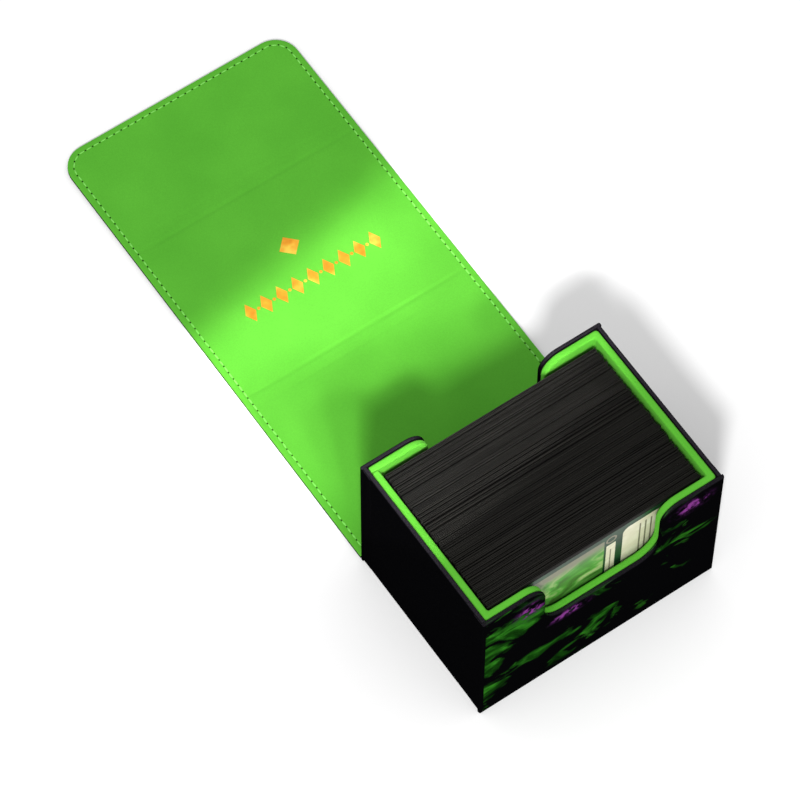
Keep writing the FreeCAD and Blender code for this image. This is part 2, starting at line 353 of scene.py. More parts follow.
def haze_mask(tree):
    """Violet patches beside and under the notch, broken up by fine noise."""
    x, _, z = add(tree, SPLIT, {0: place_in_mm(tree)}).outputs
    nearest = None
    for spot_x, spot_z, half_width, half_height in HAZE_SPOTS:
        offsets = []
        for place, spot, half in ((x, spot_x, half_width), (z, spot_z, half_height)):
            offset = add(tree, MATH, {0: place, 1: spot}, operation="SUBTRACT")
            offsets.append(add(tree, MATH, {0: offset, 1: half}, operation="DIVIDE"))
        away = add(tree, JOIN, {"X": offsets[0], "Y": offsets[1]})
        distance = add(tree, "ShaderNodeVectorMath", {0: away}, operation="LENGTH").outputs["Value"]
        if nearest:
            distance = add(tree, MATH, {0: nearest, 1: distance}, operation="MINIMUM")
        nearest = distance
    broken = add(tree, NOISE, {"Vector": place_in_mm(tree), "Scale": 1 / 3, "Detail": 6.0})
    inside = add(tree, RAMP, {0: nearest}, [(0.35, 1.0), (1.0, 0.0)])
    flecks = add(tree, RAMP, {0: broken}, [(0.42, 0.0), (0.6, 1.0)])
    return add(tree, MATH, {0: inside, 1: flecks}, operation="MULTIPLY")


def sleeve_film():
    """Black polypropylene sleeves: matt film with fine drawn lines along each welded edge."""
    made, tree, shader = material("black_sleeve_film", {"Roughness": 0.55, "Specular IOR Level": 0.08})
    along = place_in_mm(tree, (1 / 30, 1 / 0.3, 1 / 6))
    lines = add(tree, NOISE, {"Vector": along, "Scale": 1.0, "Detail": 3.0})
    ticks = add(tree, NOISE, {"Vector": place_in_mm(tree), "Scale": 1 / 0.5, "Detail": 2.0})
    drawn = add(tree, RAMP, {0: lines}, [(0.3, "191817"), (0.7, "2b2a27")])
    flecks = add(tree, RAMP, {0: ticks}, [(0.3, 0.75), (0.7, 1.0)])
    mixed = add(tree, "ShaderNodeMix", {"Factor": 1.0, "A": drawn, "B": flecks},
                data_type="RGBA", blend_type="MULTIPLY")
    bump = add(tree, BUMP, {"Height": lines, "Strength": 0.2, "Distance": 0.04 * MM})
    feed(tree, shader, base_color=mixed, normal=bump)
    return made


def thread():
    """Twisted polyester thread, a shade lighter than the suede and slightly shiny."""
    made, tree, shader = material("polyester_thread", {"Roughness": 0.5, "Sheen Weight": 0.2})
    twist = add(tree, NOISE, {"Vector": place_in_mm(tree), "Scale": 1 / 0.3, "Detail": 2.0})
    feed(tree, shader, base_color=add(tree, RAMP, {0: twist}, [(0.3, "5fba3a"), (0.7, "86e05c")]))
    return made


def needle_hole_shade():
    """Painted shade: a dark disc that stands in for the shade inside a hole that the needle left in the suede."""
    made, tree, shader = material("needle_hole_shade", {"Roughness": 1.0, "Specular IOR Level": 0.0})
    depth = add(tree, NOISE, {"Vector": place_in_mm(tree), "Scale": 1 / 0.4, "Detail": 1.0})
    feed(tree, shader, base_color=add(tree, RAMP, {0: depth}, [(0.3, "10230a"), (0.7, "1c3a12")]))
    return made


def foil():
    """Hot-stamped gold foil: a thin metal film that takes on the nap under it."""
    made, tree, shader = material("hot_stamped_foil", {"Metallic": 0.55, "Roughness": 0.42})
    place = place_in_mm(tree)
    tone = add(tree, NOISE, {"Vector": place, "Scale": 1 / 5, "Detail": 2.0})
    nap = add(tree, NOISE, {"Vector": place, "Scale": 1 / 0.4, "Detail": 3.0})
    gold = add(tree, RAMP, {0: tone}, [(0.3, "e0861c"), (0.5, "f0a62c"), (0.7, "f8cf4e")])
    bump = add(tree, BUMP, {"Height": nap, "Strength": 0.4, "Distance": 0.03 * MM})
    feed(tree, shader, base_color=gold, normal=bump)
    return made


def dyed_board():
    """Greyboard dyed black all through, so that its cut edges do not show beside the leatherette."""
    made, tree, shader = material("dyed_greyboard", {"Roughness": 0.9, "Specular IOR Level": 0.05})
    pulp = add(tree, NOISE, {"Vector": place_in_mm(tree), "Scale": 1 / 1.5, "Detail": 6.0})
    feed(tree, shader, base_color=add(tree, RAMP, {0: pulp}, [(0.3, "100f11"), (0.7, "1c1a1d")]))
    return made


def nickel_plate():
    """Nickel-plated magnets, bright with faint tumbling marks."""
    made, tree, shader = material("nickel_plate", {"Metallic": 1.0})
    marks = add(tree, NOISE, {"Vector": place_in_mm(tree), "Scale": 1 / 0.8, "Detail": 4.0})
    metal = add(tree, RAMP, {0: marks}, [(0.3, "b4b2ae"), (0.7, "cfcdc8")])
    dullness = add(tree, RAMP, {0: marks}, [(0.3, 0.2), (0.7, 0.35)])
    feed(tree, shader, base_color=metal, roughness=dullness)
    return made


# The picture's ink turns grey between these heights, about 4 mm lower than they say because
# the noise that is added to the height averages that much
GREY_FROM, GREY_TO, GREY_UNEVEN = 61, 66, 8


def printed_card(name, dark, mid, light, size, top_tint=None):
    """Card stock under clear film, printed with soft bands of three inks, size mm long.

    The print may fade towards another ink near the card's top."""
    made, tree, shader = material(name, {"Roughness": 0.4, "Coat Weight": 0.2, "Coat Roughness": 0.2})
    warp = add(tree, NOISE, {
        "Vector": place_in_mm(tree, (1, 1, 2.2)),
        "Scale": 1 / size,
        "Detail": 4.0,
        "Distortion": 1.2,
    })
    inks = add(tree, RAMP, {0: warp}, [(0.32, dark), (0.5, mid), (0.68, light)])
    if top_tint:
        z = add(tree, SPLIT, {0: place_in_mm(tree)}).outputs["Z"]
        unevenness = add(tree, MATH, {0: warp, 1: GREY_UNEVEN}, operation="MULTIPLY")
        height = add(tree, MATH, {0: z, 1: unevenness}, operation="ADD")
        fade = add(tree, "ShaderNodeMapRange", {"Value": height, "From Min": GREY_FROM, "From Max": GREY_TO})
        inks = add(tree, "ShaderNodeMix", {"Factor": fade, "A": inks, "B": colour(top_tint)},
                   data_type="RGBA")
    feed(tree, shader, base_color=inks)
    return made


SUEDE = suede()
LEATHER = leatherette()
FLAP_LEATHER = flap_leatherette()
PRINTED = printed_leatherette()
FILM = sleeve_film()
THREAD = thread()
HOLE_SHADE = needle_hole_shade()
FOIL = foil()
BOARD = dyed_board()
NICKEL = nickel_plate()


def paint_cad_nodes():
    """Gives every CAD node its material; those that a finer piece replaces are hidden later."""
    finish = {
        "leatherette": LEATHER,
        "printed_leatherette": PRINTED,
        "greyboard": BOARD,
        "suede": SUEDE,
        "thread": THREAD,
        "foil": FOIL,
        "magnet": NICKEL,
        "sleeves": FILM,
        "card_face": FILM,
    }
    for subpart in frame["record"]["subparts"]:
        node = frame["nodes"][subpart["node"]]
        node.data.materials.clear()
        node.data.materials.append(finish[subpart["material_slot"]])


# Lining strip inside the box

STRIP_ROUND = 0.85  # the suede's soft edge round the strip's top
FOLD_INNER_R = 0.9
FOLD_OUTER_R = 1.3
FOLD_RUN = 3.0  # length of strip that goes round a corner
STRAIGHT_END = 2.0  # each side is straight up to this far from the corner's inside
STRIP_SEAM = 0.15
NOTCH_BAND = 2  # no cuts across the strip this close under its top
NEAR = 1e-6


def notched_edge(start, centre, end, top):
    """The upper edge of a strip from start to end with one finger notch about centre."""
    bottom = BOX_H - NOTCH_DEPTH
    shoulder_z = BOX_H - SHOULDER_R
    drop = BOX_H - top
    left = centre - NOTCH_HALF
    right = centre + NOTCH_HALF
    points = [(start, top)]
    points += arc(left - SHOULDER_R, shoulder_z, SHOULDER_R - drop, 90, -90)
    points += arc(left - drop + NOTCH_CORNER_R, bottom - drop + NOTCH_CORNER_R, NOTCH_CORNER_R, 180, 90)
    points += arc(right + drop - NOTCH_CORNER_R, bottom - drop + NOTCH_CORNER_R, NOTCH_CORNER_R, 270, 90)
    points += arc(right + SHOULDER_R, shoulder_z, SHOULDER_R - drop, 180, -90)
    return points + [(end, top)]


def strip_stations():
    """How the flat strip folds: (place along the strip, inner point, outer point) in plan."""
    low, high = cad_box("back_liner")
    outer_x, inner_y, outer_y = high.x, low.y, high.y
    thickness = outer_y - inner_y
    inner_x = outer_x - thickness
    run_x = inner_x - STRAIGHT_END
    run_y = inner_y - STRAIGHT_END
    start_x = STRIP_SEAM - outer_x
    stations = [(0.0, Vector((start_x, inner_y)), Vector((start_x, outer_y)))]
    along = run_x - start_x
    stations.append((along, Vector((run_x, inner_y)), Vector((run_x, outer_y))))
    corners = [(1, 1, 90), (1, -1, 0), (-1, -1, -90)]
    for number, (sx, sy, start) in enumerate(corners):
        inner = arc(sx * (inner_x - FOLD_INNER_R), sy * (inner_y - FOLD_INNER_R), FOLD_INNER_R, start, -90)
        outer = arc(sx * (outer_x - FOLD_OUTER_R), sy * (outer_y - FOLD_OUTER_R), FOLD_OUTER_R, start, -90)
        first = along + STRAIGHT_END
        for i, (p, q) in enumerate(zip(inner, outer)):
            stations.append((first + FOLD_RUN * i / (len(inner) - 1), Vector(p), Vector(q)))
        along = first + FOLD_RUN + STRAIGHT_END
        if start == 0:
            before, after, side = Vector((run_x, 0)), Vector((-run_x, 0)), -1
            pair = (Vector((0, -inner_y)), Vector((0, -outer_y)))
            length = 2 * run_x
        else:
            before, after = Vector((0, sx * run_y)), Vector((0, -sx * run_y))
            pair = (Vector((sx * inner_x, 0)), Vector((sx * outer_x, 0)))
            length = 2 * run_y
        if number == 2:
            before, after = Vector((0, -run_y)), Vector((0, inner_y - 2 * STRIP_SEAM))
            length = after.y - before.y
        stations.append((along, before + pair[0], before + pair[1]))
        along += length
        stations.append((along, after + pair[0], after + pair[1]))
    return stations, thickness


def fold_point(stations, along, share):
    """The place in plan of a point of the strip; share is 0 on its inner face and 1 outside."""
    for (a, inner_a, outer_a), (b, inner_b, outer_b) in zip(stations, stations[1:]):
        if along <= b or b == stations[-1][0]:
            t = (along - a) / (b - a)
            return inner_a.lerp(inner_b, t).lerp(outer_a.lerp(outer_b, t), share)


def lining_strip():
    """One suede-covered strip, folded at three corners of the box, its ends meeting at the fourth."""
    stations, thickness = strip_stations()
    low, high = cad_box("back_liner")
    floor_z, top = low.z, high.z
    end = stations[-1][0]
    back_centre = -stations[0][1].x
    front_start = next(a for a, p, _ in stations if p.y < 0 and abs(p.x - stations[1][1].x) < NEAR)
    front_centre = front_start + stations[1][1].x
    between = (back_centre + front_centre) / 2
    edge = notched_edge(0.0, back_centre, between, top)[:-1]
    edge += notched_edge(between, front_centre, end, top)[1:]
    outline = edge + [(end, floor_z), (0.0, floor_z)]
    bm = bmesh.new()
    face = bm.faces.new([bm.verts.new((s, 0, z)) for s, z in outline])
    bmesh.ops.extrude_face_region(bm, geom=[face])
    for v in [v for v in bm.verts if face not in v.link_faces]:
        v.co.y = thickness
    soft = [e for e in bm.edges if abs(e.verts[0].co.y - e.verts[1].co.y) < NEAR
            and max(v.co.z for v in e.verts) > floor_z + 1]
    bmesh.ops.bevel(bm, geom=soft, offset=STRIP_ROUND, segments=5, profile=0.5, affect="EDGES")
    slice_mesh(bm, 0, sorted({a for a, _, _ in stations[2:-1]}))
    slice_mesh(bm, 2, steps(floor_z, top - NOTCH_BAND, 9))
    for v in bm.verts:
        spot = fold_point(stations, v.co.x, v.co.y / thickness)
        v.co = (spot.x, spot.y, v.co.z)
    made = piece("suede_lining_strip", bm, SUEDE, sharp=50)
    weight_normals(made)
    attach(made, "box")
    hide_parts("back_liner", "right_liner", "front_liner", "left_liner")


# Flap

SPLITS = [(ROOT_FOLD.y + TOP_FOLD.y) / 2, (TOP_FOLD.y + FRONT_FOLD.y) / 2]
SECTIONS = ["back", "top", "front"]
FOLDS = [ROOT_FOLD, TOP_FOLD, FRONT_FOLD]
SUEDE_INSET = 0.04  # the suede stops this far inside the leatherette's edge
TRAY_WALL = 0.9  # leatherette and glue turned up beside the boards
TRAY_RIM_Z = LINING_Z - 0.03
SKIN_T = 0.34
EDGE_DROP, EDGE_SOFT = 0.22, 0.6  # how far the suede rounds down at its edge, and over what width
GROOVE_DEPTH, GROOVE_HALF = 0.13, 0.45  # where the stitches pull the suede down
DEEP_CREASE, FAINT_CREASE, CREASE_HALF = 0.26, 0.04, 0.75  # beside a fold, at the boards' ends
FOLD_DIP = 0.06  # between the boards
WAVE_HEIGHT, WAVE_LEVEL = 0.07, 0.6  # soft waves of the glued suede, mostly below its highest level
FINE_CUT, WIDE_CUT, CUT_PAST_FOLD = 0.6, 5, 1.6  # spacing of the cuts that let the flap bend


def flap_path(inset, y0):
    """The flap's outline from its near right corner round the free end to the near left one."""
    x = BOX_X - inset
    corner_x = BOX_X - FLAP_CORNER_R
    corner_y = FLAP_END - FLAP_CORNER_R
    r = FLAP_CORNER_R - inset
    path = [(x, y0)] + arc(corner_x, corner_y, r, 0, 90, 12) + arc(-corner_x, corner_y, r, 90, 90, 12)
    return path + [(-x, y0)]


def edge_distance(x, y):
    """How far inside the flap's edge a point lies."""
    dx = BOX_X - abs(x)
    dy = FLAP_END - y
    r = FLAP_CORNER_R
    if dx < r and dy < r:
        return r - math.hypot(r - dx, r - dy)
    return min(dx, dy)


def bend_places():
    """Cuts across the flap: close together where it bends or creases, and wider elsewhere."""
    places = []
    near = BOX_Y
    for fold in FOLDS:
        reach = FOLD_HALF + CUT_PAST_FOLD
        start, end = fold.y - reach, fold.y + reach
        if start > near:
            places += steps(near, start, WIDE_CUT) + [start]
        places += steps(max(start, near), end, FINE_CUT) + [end]
        near = end
    return places + steps(near, FLAP_END - FLAP_CORNER_R, WIDE_CUT)


def suede_height(x, y):
    """The height of the flap's suede: rounded edge, stitching groove, creases and soft waves."""
    inside = edge_distance(x, y) - SUEDE_INSET
    z = FLAP_T
    z -= EDGE_DROP * (1 - smooth(inside / EDGE_SOFT))
    z -= GROOVE_DEPTH * math.exp(-(((inside + SUEDE_INSET - STITCH_INSET) / GROOVE_HALF) ** 2))
    spread = smooth((inside - STITCH_INSET) / 6)
    for fold, side in ((TOP_FOLD, 1), (FRONT_FOLD, -1)):
        for end, depth in ((side, DEEP_CREASE), (-side, FAINT_CREASE)):
            away = y - (fold.y + end * FOLD_HALF)
            z -= depth * spread * math.exp(-((away / CREASE_HALF) ** 2))
        z -= FOLD_DIP * spread * (1 - smooth((abs(y - fold.y) - FOLD_HALF) / 1.2))
    wave = noise.noise(Vector((x / 34, y / 27, 0.3))) + 0.4 * noise.noise(Vector((x / 11, y / 13, 4.2)))
    return z + WAVE_HEIGHT * spread * (wave - WAVE_LEVEL)


def suede_sheet():
    """The whole lining of the flap as one closed sheet, before it is parted at the panels."""
    y0 = BOX_Y + 0.05
    bottom = LINING_Z + 0.02
    insets = [0, 0.12, 0.3, 0.6, 1.2, 1.7, 2.0, 2.3, 2.6, 2.9, 3.3, 4.2]
    bm = bmesh.new()
    rings = [[bm.verts.new((x, y, FLAP_T)) for x, y in flap_path(SUEDE_INSET + i, y0)] for i in insets]
    under = [bm.verts.new((x, y, bottom)) for x, y in flap_path(SUEDE_INSET, y0)]
    for outer, inner in zip([under] + rings, rings):
        for a, b, c, d in zip(outer, outer[1:], inner[1:], inner):
            bm.faces.new((a, b, c, d))
    bm.faces.new(rings[-1])
    bm.faces.new(under)
    bm.faces.new([under[0]] + [r[0] for r in rings] + [r[-1] for r in reversed(rings)] + [under[-1]])
    slice_mesh(bm, 1, bend_places())
    slice_mesh(bm, 0, steps(-BOX_X + 6, BOX_X - 6, 6))
    for v in bm.verts:
        if v.co.z > FLAP_T - 0.01:
            v.co.z = suede_height(v.co.x, v.co.y)
    return bm


def leather_tray():
    """The flap's leatherette as one closed tray with turned-up sides, round the three boards."""
    y0 = BOX_Y + 0.02
    rim = TRAY_RIM_Z
    rounding = 0.35
    levels = [
        (rounding, 0.0),
        (0.1, 0.1),
        (0.0, rounding),
        (0.0, rim - 0.3),
        (0.08, rim - 0.08),
        (0.25, rim),
        (TRAY_WALL, rim - 0.1),
        (TRAY_WALL, SKIN_T),
    ]
    bm = bmesh.new()
    rings = [[bm.verts.new((x, y, z)) for x, y in flap_path(inset, y0)] for inset, z in levels]
    for lower, upper in zip(rings, rings[1:]):
        for a, b, c, d in zip(lower, lower[1:], upper[1:], upper):
            bm.faces.new((a, b, c, d))
    bm.faces.new(rings[0])
    bm.faces.new(rings[-1])
    bm.faces.new([r[0] for r in rings] + [r[-1] for r in reversed(rings)])
    slice_mesh(bm, 1, bend_places())
    return bm


def base_sheet(bm):
    """Adds the part of the leatherette that is glued under the box."""
    low, high = cad_box("base_cover")
    x, y0, y1 = BOX_X - 0.8, low.y, BOX_Y
    corners = [(-x, y0), (x, y0), (x, y1), (-x, y1)]
    lower = [bm.verts.new((cx, cy, 0)) for cx, cy in corners]
    upper = [bm.verts.new((cx, cy, high.z)) for cx, cy in corners]
    bm.faces.new(lower)
    bm.faces.new(upper)
    for i in range(4):
        j = (i + 1) % 4
        bm.faces.new((lower[i], lower[j], upper[j], upper[i]))


def cut_out(bm, low, high):
    """The part of a closed mesh between two places along the flap, closed again."""
    part = bm.copy()
    across = Vector((0, 1, 0))
    for place, outward in ((low, -across), (high, across)):
        if place is None:
            continue
        geometry = part.verts[:] + part.edges[:] + part.faces[:]
        bmesh.ops.bisect_plane(part, geom=geometry, plane_co=across * place, plane_no=outward,
                               clear_outer=True)
        rim = [e for e in part.edges if e.is_boundary]
        bmesh.ops.edgenet_fill(part, edges=rim)
    return part


def bend_over_fold(made):
    """Bakes a piece's transform into its mesh."""
    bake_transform(made)


def flap_length(number):
    """Where a piece of the flap starts and ends, None at the flap's own ends."""
    cuts = [None] + SPLITS + [None]
    return cuts[number], cuts[number + 1]


def flap_sheets():
    """Leatherette and suede, each parted in the middle of the back and top panels."""
    tray, sheet = leather_tray(), suede_sheet()
    for number, section in enumerate(SECTIONS):
        low, high = flap_length(number)
        cover = cut_out(tray, low, high)
        if number == 0:
            base_sheet(cover)
        cover = piece(f"flap_leatherette_{section}", cover, FLAP_LEATHER, sharp=50)
        lining = piece(f"flap_suede_{section}", cut_out(sheet, low, high), SUEDE, sharp=50)
        for made, slot, kind in ((cover, "leatherette", "cover"), (lining, "suede", "lining")):
            weight_normals(made)
            bend_over_fold(made)
            nodes = [f"flap_{section}_{kind}"]
            if kind == "cover" and number == 0:
                nodes.append("base_cover")
            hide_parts(*nodes)
    tray.free()
    sheet.free()


# Stitching

STITCH_START = 1.5  # the rows begin this far behind the box
THREAD_RISE = 0.06  # the thread's middle stands this far over the suede


def stitch_places():
    """(x, y, angle) of every stitch, from the box along the right side, round the end and back."""
    radius = FLAP_CORNER_R - STITCH_INSET
    corner_x = BOX_X - FLAP_CORNER_R
    corner_y = FLAP_END - FLAP_CORNER_R
    side = corner_y - BOX_Y - STITCH_START
    quarter = math.pi / 2 * radius
    total = 2 * (side + quarter + corner_x)
    count = int(total / STITCH_PITCH)
    first = (total - (count - 1) * STITCH_PITCH) / 2
    for i in range(count):
        along = first + i * STITCH_PITCH
        up = min(along, side)
        round_right = min(max(along - side, 0), quarter)
        over = min(max(along - side - quarter, 0), 2 * corner_x)
        round_left = min(max(along - side - quarter - 2 * corner_x, 0), quarter)
        down = max(along - side - 2 * quarter - 2 * corner_x, 0)
        turn = (round_right + round_left) / radius
        x = corner_x - over + radius * math.cos(turn)
        y = corner_y - side + up - down + radius * math.sin(turn)
        yield x, y, turn


def new_group(name, sockets):
    """A geometry node tree with a mesh in, a mesh out and named number inputs.

    Returns the tree, its input node and the identifier of each named input."""
    tree = bpy.data.node_groups.new(name, "GeometryNodeTree")
    tree.interface.new_socket("Geometry", in_out="INPUT", socket_type="NodeSocketGeometry")
    tree.interface.new_socket("Geometry", in_out="OUTPUT", socket_type="NodeSocketGeometry")
    names = {}
    for label, default in sockets.items():
        kind = "NodeSocketInt" if isinstance(default, int) else "NodeSocketFloat"
        socket = tree.interface.new_socket(label, in_out="INPUT", socket_type=kind)
        socket.default_value = default
        names[label] = socket.identifier
    return tree, add(tree, "NodeGroupInput"), names


def run_group(made, tree, names, values):
    """Runs a geometry node tree on an object with its inputs set, and keeps the plain mesh."""
    modifier = made.modifiers.new(tree.name, "NODES")
    modifier.node_group = tree
    for label, value in values.items():
        modifier[names[label]] = value
    return bake(made)


STITCH_SIZES = {
    "Stitch length": 2.5 * MM,
    "Thread width": 0.62 * MM,
    "Thread height": 0.42 * MM,
    "Hole width": 0.62 * MM,
    "Pitch": STITCH_PITCH * MM,
    "Seed": 7,
}


def stitching_tree():
    """On each point, turned by its attribute turn: a thread stitch and, after it, a dark disc of painted shade for
    the needle hole.
    """
    tree, given, names = new_group("stitching", STITCH_SIZES)
    given = given.outputs
    turn = add(tree, "GeometryNodeInputNamedAttribute", {"Name": "turn"}, data_type="FLOAT")
    sway = add(tree, "FunctionNodeRandomValue", {2: -0.06, 3: 0.06, "Seed": given["Seed"]},
               data_type="FLOAT")
    angle = add(tree, MATH, {0: turn.outputs["Attribute"], 1: sway.outputs[1]}, operation="ADD")
    rotation = add(tree, JOIN, {"Z": angle})
    ball = add(tree, "GeometryNodeMeshUVSphere", {"Segments": 8, "Rings": 6, "Radius": 0.5})
    size = add(tree, JOIN, {
        "X": given["Thread width"],
        "Y": given["Stitch length"],
        "Z": given["Thread height"],
    })
    strand = add(tree, "GeometryNodeTransform", {0: ball, "Scale": size})
    half_width = add(tree, MATH, {0: given["Hole width"], 1: 0.5}, operation="MULTIPLY")
    # a flat disc of painted shade where the needle hole is
    disc = add(tree, "GeometryNodeMeshCylinder", {
        "Vertices": 10,
        "Radius": half_width,
        "Depth": 0.12 * MM,
    })
    half_pitch = add(tree, MATH, {0: given["Pitch"], 1: 0.5}, operation="MULTIPLY")
    after = add(tree, JOIN, {"Y": half_pitch, "Z": -0.02 * MM})
    hole = add(tree, "GeometryNodeTransform", {0: disc, "Translation": after})
    both = add(tree, "GeometryNodeJoinGeometry")
    for shape, surface in ((strand, THREAD), (hole, HOLE_SHADE)):
        placed = add(tree, "GeometryNodeInstanceOnPoints", {
            "Points": given[0],
            "Instance": shape,
            "Rotation": rotation,
        })
        solid = add(tree, "GeometryNodeRealizeInstances", {0: placed})
        finished = add(tree, "GeometryNodeSetMaterial", {0: solid, "Material": surface})
        tree.links.new(finished.outputs[0], both.inputs[0])
    add(tree, "NodeGroupOutput", {0: both})
    return tree, names


def stitching():
    """Thread and needle holes round the flap, the holes as discs of painted shade, one piece for each fold that it
    crosses.
    """
    tree, names = stitching_tree()
    places = list(stitch_places())
    for number, section in enumerate(SECTIONS):
        low, high = flap_length(number)
        here = [p for p in places if (low is None or p[1] > low) and (high is None or p[1] <= high)]
        mesh = bpy.data.meshes.new(f"flap_stitching_{section}")
        points = [(x * MM, y * MM, (suede_height(x, y) + THREAD_RISE) * MM) for x, y, _ in here]
        mesh.from_pydata(points, [], [])
        turns = mesh.attributes.new("turn", "FLOAT", "POINT")
        turns.data.foreach_set("value", [turn for _, _, turn in here])
        made = bpy.data.objects.new(f"flap_stitching_{section}", mesh)
        bpy.context.scene.collection.objects.link(made)
        run_group(made, tree, names, STITCH_SIZES)
        made.data.shade_smooth()
        bend_over_fold(made)
        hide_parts(f"flap_{section}_stitches")


# Deck

CARD_COUNT = 99
WELD = 1.4  # width of a sleeve's thin welded edge
WELD_T = 0.3


def single_sleeve(width, height, thickness):
    """A closed sleeved card: back face, rounded welded rim and front face."""
    bm = bmesh.new()
    half = thickness / 2
    profile = [(WELD, -half), (WELD * 0.6, -WELD_T / 2 - 0.04), (0.1, -WELD_T / 2), (0.0, 0.0),
               (0.1, WELD_T / 2), (WELD * 0.6, WELD_T / 2 + 0.04), (WELD, half)]
    rings = []
    for inset, y in profile:
        x, z = width / 2 - inset, height / 2 - inset
        corners = [(-x, -z), (x, -z), (x, z), (-x, z)]
        rings.append([bm.verts.new((cx, y, cz)) for cx, cz in corners])
    for lower, upper in zip(rings, rings[1:]):
        for i in range(4):
            j = (i + 1) % 4
            bm.faces.new((lower[i], lower[j], upper[j], upper[i]))
    bm.faces.new(rings[0])
    bm.faces.new(rings[-1])
    return bm


DECK_SIZES = {
    "Cards": CARD_COUNT,
    "Card thickness": 0.47 * MM,
    "Deck depth": 61.6 * MM,
    "Loose share": 0.3,
    "Tight gap": 0.08,
    "Side play": 0.35 * MM,
    "Height play": 0.28 * MM,
    "Seed": 23,
}


def deck_tree():
    """Cards in a row along +Y, most pressed together and some with a gap, each a little off."""
    tree, given, names = new_group("card_row", DECK_SIZES)
    given = given.outputs
    draws = []
    for number, low in enumerate((0.0, 0.3, -1.0, -1.0)):
        seed = add(tree, MATH, {0: given["Seed"], 1: float(number)}, operation="ADD")
        values = {2: low, 3: 1.0, "Seed": seed}
        draws.append(add(tree, "FunctionNodeRandomValue", values, data_type="FLOAT").outputs[1])
    chance, amount, sideways, upwards = draws
    thickness = given["Card thickness"]
    loose = add(tree, MATH, {0: chance, 1: given["Loose share"]}, operation="LESS_THAN")
    width = add(tree, MATH, {0: loose, 1: given["Tight gap"]}, operation="ADD")
    gap = add(tree, MATH, {0: amount, 1: width}, operation="MULTIPLY")
    summed = add(tree, "GeometryNodeAccumulateField", {0: gap}, data_type="FLOAT").outputs
    others = add(tree, MATH, {0: given["Cards"], 1: 1.0}, operation="SUBTRACT")
    solid = add(tree, MATH, {0: thickness, 1: others}, operation="MULTIPLY")
    spare = add(tree, MATH, {0: given["Deck depth"], 1: solid}, operation="SUBTRACT")
    share = add(tree, MATH, {0: summed["Trailing"], 1: summed["Total"]}, operation="DIVIDE")
    offset = add(tree, JOIN, {
        "X": add(tree, MATH, {0: sideways, 1: given["Side play"]}, operation="MULTIPLY"),
        "Y": add(tree, MATH, {0: share, 1: spare}, operation="MULTIPLY"),
        "Z": add(tree, MATH, {0: upwards, 1: given["Height play"]}, operation="MULTIPLY"),
    })
    step = add(tree, JOIN, {"Y": thickness})
    row = add(tree, "GeometryNodeMeshLine", {"Count": given["Cards"], "Offset": step})
    placed = add(tree, "GeometryNodeSetPosition", {0: row, "Offset": offset})
    cards = add(tree, "GeometryNodeInstanceOnPoints", {"Points": placed, "Instance": given[0]})
    solids = add(tree, "GeometryNodeRealizeInstances", {0: cards})
    add(tree, "NodeGroupOutput", {
        0: add(tree, "GeometryNodeSetMaterial", {0: solids, "Material": FILM}),
    })
    return tree, names


def deck():
    """The sleeved cards behind the front one."""
    low, high = cad_box("sleeved_cards")
    size = high - low
    thickness = DECK_SIZES["Card thickness"] / MM
    play_x, play_z = DECK_SIZES["Side play"] / MM, DECK_SIZES["Height play"] / MM
    bm = single_sleeve(size.x - 2 * play_x, size.z - 2 * play_z, thickness - 0.01)
    made = piece("sleeved_deck", bm, FILM, sharp=60)
    tree, names = deck_tree()
    run_group(made, tree, names, {**DECK_SIZES, "Deck depth": (size.y - thickness) * MM})
    centre = (low + high) / 2
    start = Vector((centre.x, low.y + thickness / 2, centre.z))
    made.data.transform(Matrix.Translation(start * MM))
    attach(made, "deck")
    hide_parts("sleeved_cards")


def rounded_panel(x0, x1, z0, z1, radius, y0, y1):
    """A thin upright panel with rounded corners, from y0 back to y1."""
    corners = arc(x1 - radius, z1 - radius, radius, 0, 90, 5)
    corners += arc(x0 + radius, z1 - radius, radius, 90, 90, 5)
    corners += arc(x0 + radius, z0 + radius, radius, 180, 90, 5)
    corners += arc(x1 - radius, z0 + radius, radius, 270, 90, 5)
    bm = bmesh.new()
    face = bm.faces.new([bm.verts.new((x, y0, z)) for x, z in corners])
    bmesh.ops.extrude_face_region(bm, geom=[face])
    for v in [v for v in bm.verts if face not in v.link_faces]:
        v.co.y = y1
    return bm


CARD_MARGIN = 0.6  # between the print and the sleeve's weld
CARD_LINES = 8
FIRST_LINE_X, LINE_PITCH, LINE_W = 19.6, 2.4, 0.7


